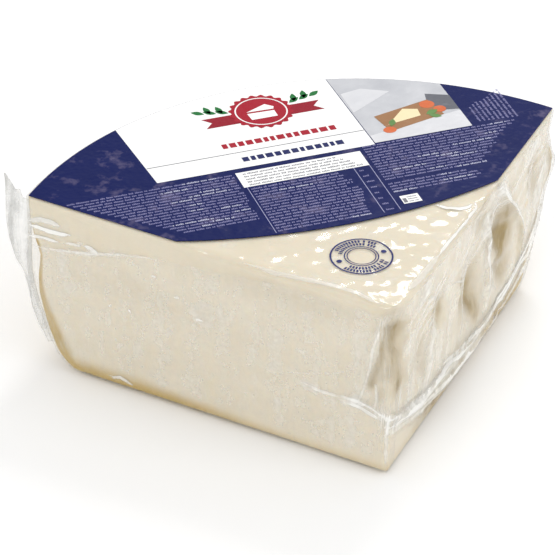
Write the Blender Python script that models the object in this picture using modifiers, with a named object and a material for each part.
"""A vacuum-packed parmesan chunk: a quarter of a half wheel in clear film, with a label on top.

The chunk stands on the wheel's flat face. Its point is towards -Y, its rind faces +Y and +Z is up. The origin
is on the underside, halfway between the point and the rim. Everything is in metres.
"""

import math

import bmesh
import bpy
from mathutils import Vector, noise

MM = 0.001

# Driving dimensions of the chunk
WHEEL_RADIUS = 195 * MM
HEIGHT = 103 * MM  # half of the wheel's height
AXIS_OFFSET = 16 * MM  # the cuts meet this far in front of the wheel's axis
BELLY_TOP = 60 * MM  # above this height the side is upright
BELLY_DRAW = 22 * MM  # how far the side draws in from there to the foot
BELLY_POWER = 1.5
FOOT_RADIUS = 14 * MM  # rounding between the side and the flat underside
BOX_SIDE = 250 * MM  # the box that cuts the quarter out is larger than the chunk

# Rounding of the cut edges under the tight film
FOOT_EDGE = 5 * MM
RIM_EDGE = 3 * MM
RIM_TOP_EDGE = 1.8 * MM
POINT_EDGE_LOW = 4 * MM  # the upright edge at the point, up to mid-height
POINT_EDGE_HIGH = 11 * MM  # the same edge at the top
TOP_EDGE_FREE = 4 * MM  # where the top is bare
TOP_EDGE_LABEL = 0.8 * MM  # where the label reaches the edge
LABEL_START = 112 * MM  # distance from the point at which the top edge turns sharp
LABEL_BLEND = 10 * MM  # length over which it does so

# Mesh
PROFILE_STEPS = 32
PROFILE_POWER = 1.5  # above 1 the steps of the profile are closer together near the foot
TURN_STEPS = 160
MERGE_WITHIN = 0.1 * MM
CELL = 2.2 * MM  # spacing before the flat parts are thinned out
NEAR_FLAT = 0.3 * CELL  # a mesh point this near to the underside or the top is put on it
TRIANGLES = 8600  # left after thinning
RELIEF_FADE = 8 * MM  # depth over which the relief of a face dies away inside the chunk
FOOT_FADE = 12 * MM  # height over which the crags and waves grow from the flat underside
TOP_FADE = 10 * MM  # drop over which the crags grow from the flat top
CRAG_SIZE = 16 * MM  # spacing of the crags of the broken face
CRAG_HEIGHT = 1.1 * MM
CRAG_LAYERS = (0.9, 2.1, 2)  # roughness, how much finer each layer of crags is, and how many layers
WAVE_SIZE = 34 * MM  # spacing of the faint waves of the sawn face
WAVE_HEIGHT = 0.35 * MM

# Forms of the curved side by the right corner, in mm and degrees: (height, half height, half angle, push)
SIDE_FORMS = [
    (65, 11, 5, 10),  # a bulge
    (91, 6, 6, -4),  # and a dent above it
]
SLACK_HEIGHT = 1.1  # mm, slack folds of film over the rest of that side
SLACK_PER_DEGREE = 0.13
SLACK_PER_MM = 0.03
SLACK_PLACE = 2.0  # which slice of the noise they follow
SIDE_FOOT_FADE = 14  # mm above the underside over which all these grow
SIDE_TOP_FADE = 12  # mm below the top
SIDE_TOP_SHARE = 0.15  # the share of them that is left at the top

# The loose fin of film at the left corner
FIN_THICKNESS = 1.2 * MM
FIN_ROOT = 7 * MM  # how far the fin reaches into the chunk, so that the two fuse
FIN_INSET = 1.6 * MM  # how far behind the cut face the fin lies
FIN_FOOT = 16 * MM
FIN_WAVE = 1.6 * MM
FIN_WAVE_SIZE = 9 * MM
FIN_WAVE_SLANT = 2.2  # how far, in radians, the waves run ahead at the outer edge
FIN_GRID = (5, 22)  # cells across and up
FIN_WIDEST = 21  # mm from its root
# (mm above its foot, mm out) and (mm out from its root, mm above its foot)
FIN_REACH = [(0, 1), (14, 2.5), (38, 3.2), (45, 6.5), (58, 9.5), (80, 11.5), (95, 13.5)]
FIN_TOP = [(0, 85), (6.5, 85), (8.6, 89.5), (13, 88), (20, 95)]

# The label
LABEL_THICKNESS = 0.4 * MM
LABEL_GAP = 0.3 * MM
LABEL_MARGIN = 2 * MM  # left free at the rim
LABEL_INSET = 1 * MM  # left free along the cut edges
LABEL_NEAR_LEFT = 121 * MM  # distance of the near corners from the point
LABEL_NEAR_RIGHT = 127 * MM
LABEL_NEAR_BULGE = 12.5 * MM  # how far the near edge bows out towards the point
ARC_STEPS = 48

POINT = Vector((0, -(AXIS_OFFSET + WHEEL_RADIUS) / 2, 0))
LEFT = Vector((-math.sqrt(0.5), math.sqrt(0.5), 0))  # from the point along the left cut face
RIGHT = Vector((math.sqrt(0.5), math.sqrt(0.5), 0))  # from the point along the right cut face

# Relief of the cut faces, at places given as (distance from the point, height) in mm.
# A hollow is (place, half width, half height, depth, lean of its long axis in degrees).
LEFT_HOLLOWS = [
    ((2, 74), 7, 20, 4.5, -8),  # the chipped edge at the point
    ((62, 90), 46, 7, 1.2, 0),
    ((150, 62), 34, 9, 0.7, 4),
]
RIGHT_HOLLOWS = [
    ((3, 83), 10, 14, 5.5, 8),
    ((139, 64), 12, 17, 7.5, 12),
    ((146, 34), 11, 9, 3.0, 24),
    ((101, 50), 9, 20, 5.5, 5),
    ((56, 66), 6, 12, 2.6, 0),
    ((183, 73), 6, 10, 2.4, 0),
    ((110, 90), 11, 6, 2.0, -10),
    ((30, 56), 8, 22, 1.5, 4),
    ((145, 2), 2.6, 7, 3.4, 0),  # the nick in the bottom edge
]
# A ridge is (points, half width, height).
LEFT_RIDGES = [
    ([(5, 100), (9, 88), (14, 72), (18, 57), (21, 46)], 2.8, 2.0),
    ([(3, 36), (8, 41), (16, 43), (26, 40), (38, 39), (48, 41)], 2.8, 1.6),
    ([(204, 74), (190, 76), (170, 80), (150, 86), (130, 90), (100, 93), (72, 99)], 2.6, 1.0),
]
RIGHT_RIDGES = [
    ([(-2, 42), (8, 33), (28, 24), (50, 21), (80, 20), (110, 19), (140, 17)], 3.2, 2.8),
    ([(40, 11), (70, 10), (100, 10), (140, 10), (160, 12), (176, 14), (186, 24), (196, 36)], 2.8, 2.0),
    ([(122, 104), (138, 90), (147, 78), (158, 66), (167, 54), (171, 42), (170, 26)], 2.8, 2.4),
    ([(116, 84), (120, 62), (122, 46), (124, 26)], 3.0, 2.2),
    ([(76, 84), (84, 66), (86, 48), (88, 28)], 3.4, 1.6),
    ([(40, 96), (44, 74), (46, 52), (44, 28)], 3.4, 1.4),
    ([(16, 98), (14, 76), (14, 54), (18, 34)], 3.0, 1.8),
]


def clear_scene():
    for thing in list(bpy.data.objects):
        bpy.data.objects.remove(thing, do_unlink=True)


def collection(name):
    made = bpy.data.collections.new(name)
    bpy.context.scene.collection.children.link(made)
    return made


def material(name, hex_colour, roughness, metallic=0.0):
    """A Principled material whose colour is an sRGB hex value."""
    channels = [int(hex_colour[i : i + 2], 16) / 255 for i in (0, 2, 4)]
    linear = [c / 12.92 if c <= 0.04045 else ((c + 0.055) / 1.055) ** 2.4 for c in channels]
    made = bpy.data.materials.new(name)
    made.use_nodes = True
    shader = made.node_tree.nodes["Principled BSDF"]
    shader.inputs["Base Color"].default_value = (*linear, 1)
    shader.inputs["Roughness"].default_value = roughness
    shader.inputs["Metallic"].default_value = metallic
    return made


def object_of(name, data, home, finish=None, place=(0, 0, 0)):
    made = bpy.data.objects.new(name, data)
    made.location = place
    home.objects.link(made)
    if finish:
        data.materials.append(finish)
    return made


def as_guide(thing):
    """Keeps a helper out of the model and out of a render."""
    thing.hide_render = True
    thing.display_type = "WIRE"
    return thing


def evaluated_mesh(thing):
    bpy.context.view_layer.update()
    return bpy.data.meshes.new_from_object(thing.evaluated_get(bpy.context.evaluated_depsgraph_get()))


def side_radius(height):
    """Radius of the wheel's barrel-shaped side at this height, from its foot up."""
    radius = WHEEL_RADIUS - BELLY_DRAW * max(0.0, 1 - height / BELLY_TOP) ** BELLY_POWER
    if height < FOOT_RADIUS:
        radius -= FOOT_RADIUS - math.sqrt(FOOT_RADIUS**2 - (FOOT_RADIUS - height) ** 2)
    return radius


def corner_reach(height):
    """Distance from the point to where a cut face meets the side at this height."""
    half = AXIS_OFFSET * math.sqrt(0.5)
    return half + math.sqrt(side_radius(height) ** 2 - half**2)


def between(value, pairs):
    """Straight-line reading of a short list of (place, value) pairs."""
    for (a, low), (b, high) in zip(pairs, pairs[1:]):
        if value <= b:
            return low + (high - low) * max(0.0, (value - a) / (b - a))
    return pairs[-1][1]


def smooth_step(value, start, end):
    share = max(0.0, min(1.0, (value - start) / (end - start)))
    return share * share * (3 - 2 * share)


def turned_half_wheel(home):
    """The lower half of the wheel as a turned profile, from the axis at the top out and down to the flat."""
    heights = [HEIGHT * (1 - i / PROFILE_STEPS) ** PROFILE_POWER for i in range(PROFILE_STEPS + 1)]
    profile = [(0, HEIGHT)] + [(side_radius(h), h) for h in heights] + [(0, 0)]
    mesh = bpy.data.meshes.new("half_wheel")
    mesh.from_pydata([(x, 0, z) for x, z in profile], [(i, i + 1) for i in range(len(profile) - 1)], [])
    wheel = object_of("half_wheel", mesh, home, place=(0, AXIS_OFFSET, 0))
    turn = wheel.modifiers.new("turn", "SCREW")
    turn.steps = turn.render_steps = TURN_STEPS
    turn.use_merge_vertices = True
    turn.merge_threshold = MERGE_WITHIN
    return as_guide(wheel)


def quarter_box(home):
    """A box with its upright edge where the two cuts meet."""
    mesh = bpy.data.meshes.new("quarter_box")
    box = bmesh.new()
    bmesh.ops.create_cube(box, size=BOX_SIDE)
    box.to_mesh(mesh)
    box.free()
    made = object_of("quarter_box", mesh, home, place=(0, BOX_SIDE * math.sqrt(0.5), HEIGHT / 2))
    made.rotation_euler = (0, 0, math.radians(45))
    return as_guide(made)


def distance_to_path(spot, path):
    """Distance from a spot to a path on a face, and the share of the path's length at the nearest place."""
    legs = [(Vector(a), Vector(b)) for a, b in zip(path, path[1:])]
    total = sum((b - a).length for a, b in legs)
    nearest, along, done = math.inf, 0.0, 0.0
    for a, b in legs:
        leg = b - a
        share = max(0.0, min(1.0, (spot - a).dot(leg) / leg.length_squared))
        distance = (spot - a - leg * share).length
        if distance < nearest:
            nearest = distance
            along = (done + share * leg.length) / total
        done += leg.length
    return nearest, along


def face_relief(along, height, hollows, ridges):
    """How far the film stands out from a flat cut face at this place."""
    spot = Vector((along / MM, height / MM))
    rise = 0.0
    for centre, half_width, half_height, depth, lean in hollows:
        offset = spot - Vector(centre)
        turn = math.radians(lean)
        across = (offset.x * math.cos(turn) + offset.y * math.sin(turn)) / half_width
        up = (offset.y * math.cos(turn) - offset.x * math.sin(turn)) / half_height
        rise -= depth * math.exp(-(across**2 + up**2))
    for path, half_width, ridge_height in ridges:
        distance, share = distance_to_path(spot, path)
        taper = min(1.0, 0.2 + 6 * share, 0.2 + 6 * (1 - share))
        rise += ridge_height * taper * math.exp(-((distance / half_width) ** 2))
    return rise * MM


def rim_relief(from_right_corner, height):
    """How far the film stands out from the curved side, at this angle in degrees from the right corner."""
    z = height / MM
    spot = Vector((from_right_corner * SLACK_PER_DEGREE, z * SLACK_PER_MM, SLACK_PLACE))
    rise = SLACK_HEIGHT * noise.noise(spot)
    for middle, half_height, half_angle, push in SIDE_FORMS:
        up, aside = (z - middle) / half_height, from_right_corner / half_angle
        rise += push * math.exp(-(up**2) - aside**2)
    below_top = smooth_step(HEIGHT / MM - z, 0, SIDE_TOP_FADE)
    fade = smooth_step(z, 0, SIDE_FOOT_FADE) * (SIDE_TOP_SHARE + (1 - SIDE_TOP_SHARE) * below_top)
    return rise * fade * MM


def rounded(a, b, radius):
    """Distances from two faces that meet at an edge, moved onto the rounding of that edge."""
    if a >= radius or b >= radius:
        return a, b
    reach = math.hypot(radius - a, radius - b)
    if reach <= radius:
        return a, b
    return radius - (radius - a) * radius / reach, radius - (radius - b) * radius / reach


def shaped(place):
    """Where a place on the plain cut quarter ends up once the edges are rounded and the relief is on."""
    from_left, from_right, z = place.dot(RIGHT), place.dot(LEFT), place.z
    outward = Vector((place.x, place.y - AXIS_OFFSET, 0))
    plain_from_rim = side_radius(z) - outward.length
    outward.normalize()
    point_edge = POINT_EDGE_LOW + (POINT_EDGE_HIGH - POINT_EDGE_LOW) * smooth_step(z, HEIGHT / 2, HEIGHT)
    from_left, from_right = rounded(from_left, from_right, point_edge)
    from_left, lift = rounded(from_left, z, FOOT_EDGE)
    from_right, lift = rounded(from_right, lift, FOOT_EDGE)
    from_rim, drop = rounded(plain_from_rim, HEIGHT - lift, RIM_TOP_EDGE)
    from_left, from_rim = rounded(from_left, from_rim, RIM_EDGE)
    from_right, from_rim = rounded(from_right, from_rim, RIM_EDGE)
    sharp = smooth_step(max(from_left, from_right), LABEL_START - LABEL_BLEND, LABEL_START)
    top_edge = TOP_EDGE_FREE + (TOP_EDGE_LABEL - TOP_EDGE_FREE) * sharp
    from_left, drop = rounded(from_left, drop, top_edge)
    from_right, drop = rounded(from_right, drop, top_edge)
    z = HEIGHT - drop
    crags = CRAG_HEIGHT * noise.fractal(place / CRAG_SIZE, *CRAG_LAYERS) * smooth_step(z, 0, FOOT_FADE)
    crags *= smooth_step(drop, 0, TOP_FADE)
    waves = WAVE_HEIGHT * noise.noise(place / WAVE_SIZE) * smooth_step(z, 0, FOOT_FADE)
    left_rise = face_relief(from_right, z, LEFT_HOLLOWS, LEFT_RIDGES) + waves
    right_rise = face_relief(from_left, z, RIGHT_HOLLOWS, RIGHT_RIDGES) + crags
    rim_rise = rim_relief(math.degrees(math.atan2(from_right, from_left)), z)
    moved_left = from_left - left_rise * math.exp(-((from_left / RELIEF_FADE) ** 2))
    moved_right = from_right - right_rise * math.exp(-((from_right / RELIEF_FADE) ** 2))
    rim_push = rim_rise * math.exp(-((from_rim / RELIEF_FADE) ** 2)) - (from_rim - plain_from_rim)
    return RIGHT * moved_left + LEFT * moved_right + outward * rim_push + Vector((0, 0, z))


def shaped_chunk_mesh(helpers):
    """The quarter of the half wheel, meshed evenly and given its rounded edges and relief."""
    wheel = turned_half_wheel(helpers)
    cut = wheel.modifiers.new("quarter", "BOOLEAN")
    cut.operation = "INTERSECT"
    cut.object = quarter_box(helpers)
    even = wheel.modifiers.new("even_mesh", "REMESH")
    even.mode = "VOXEL"
    even.voxel_size = CELL
    mesh = evaluated_mesh(wheel)
    wheel.modifiers.remove(even)
    for vertex in mesh.vertices:
        place = vertex.co + Vector((0, AXIS_OFFSET, 0))
        if place.z < NEAR_FLAT:
            place.z = 0
        if place.z > HEIGHT - NEAR_FLAT:
            place.z = HEIGHT
        vertex.co = shaped(place)
    return mesh


def film_fin(helpers):
    """The loose film that stands out from the left corner, as a thin wavy sheet."""
    mesh = bpy.data.meshes.new("film_fin")
    sheet = bmesh.new()
    bmesh.ops.create_grid(sheet, x_segments=FIN_GRID[0], y_segments=FIN_GRID[1], size=0.5)
    for vertex in sheet.verts:
        out, up = vertex.co.x + 0.5, vertex.co.y + 0.5
        height = up * between(out * FIN_WIDEST, FIN_TOP) * MM
        width = FIN_ROOT + between(height / MM, FIN_REACH) * MM
        wave = FIN_WAVE * out * math.sin(height / FIN_WAVE_SIZE + FIN_WAVE_SLANT * out)
        root = corner_reach(min(HEIGHT, FIN_FOOT + height)) - FIN_ROOT
        vertex.co = LEFT * (root + out * width) + RIGHT * (FIN_INSET + wave)
        vertex.co.z = FIN_FOOT + height
    sheet.to_mesh(mesh)
    sheet.free()
    fin = object_of("film_fin", mesh, helpers, place=POINT)
    thickness = fin.modifiers.new("thickness", "SOLIDIFY")
    thickness.thickness = FIN_THICKNESS
    thickness.offset = 0
    return as_guide(fin)


def sealed_chunk(home, helpers):
    """The chunk in its tight film, one solid with the loose fin of film."""
    mesh = shaped_chunk_mesh(helpers)
    mesh.name = "sealed_chunk"
    finish = material("filmed_cheese", "E4DAC2", 0.28)
    chunk = object_of("sealed_chunk", mesh, home, finish, POINT)
    thin = chunk.modifiers.new("thin_out", "DECIMATE")
    thin.ratio = TRIANGLES / (2 * len(mesh.polygons))
    fuse = chunk.modifiers.new("fuse_fin", "BOOLEAN")
    fuse.operation = "UNION"
    fuse.object = film_fin(helpers)
    mesh.shade_smooth()
    return chunk


def arc(start, end, bulge):
    """Places along a flat arc that bows out to the right of the way from start to end."""
    chord = end - start
    radius = (chord.length**2 / 4 + bulge**2) / (2 * bulge)
    outward = Vector((chord.y, -chord.x)).normalized()
    centre = (start + end) / 2 + outward * (bulge - radius)
    first, last = start - centre, end - centre
    sweep = first.angle_signed(last)
    turned = []
    for i in range(ARC_STEPS + 1):
        angle = math.atan2(first.y, first.x) - sweep * i / ARC_STEPS
        turned.append(centre + radius * Vector((math.cos(angle), math.sin(angle))))
    return turned


def label_outline():
    """The label's outline: straight along the cut edges, an arc at the rim and a shallower one opposite."""
    left, right = LEFT.to_2d(), RIGHT.to_2d()
    radius = WHEEL_RADIUS - LABEL_MARGIN
    offset = AXIS_OFFSET * math.sqrt(0.5)
    tip = offset + math.sqrt(radius**2 - (offset - LABEL_INSET) ** 2)
    near = arc(
        left * LABEL_NEAR_LEFT + right * LABEL_INSET,
        right * LABEL_NEAR_RIGHT + left * LABEL_INSET,
        LABEL_NEAR_BULGE,
    )
    first, last = right * tip + left * LABEL_INSET, left * tip + right * LABEL_INSET
    rim_bulge = AXIS_OFFSET + radius - (first.y + last.y) / 2
    return near + arc(first, last, rim_bulge)


def label(home):
    """The printed label, a thin plate that lies on the film."""
    curve = bpy.data.curves.new("label", "CURVE")
    curve.dimensions = "2D"
    curve.fill_mode = "BOTH"
    curve.extrude = LABEL_THICKNESS / 2
    outline = label_outline()
    spline = curve.splines.new("POLY")
    spline.points.add(len(outline) - 1)
    for point, place in zip(spline.points, outline):
        point.co = (*place, 0, 1)
    spline.use_cyclic_u = True
    paper = material("label_paper", "2A3467", 0.35)
    middle = Vector((0, 0, HEIGHT + LABEL_GAP + LABEL_THICKNESS / 2))
    return object_of("label", curve, home, paper, POINT + middle)


def main():
    clear_scene()
    parts = collection("parmesan_chunk")
    helpers = collection("helpers")
    sealed_chunk(parts, helpers)
    label(parts)


main()
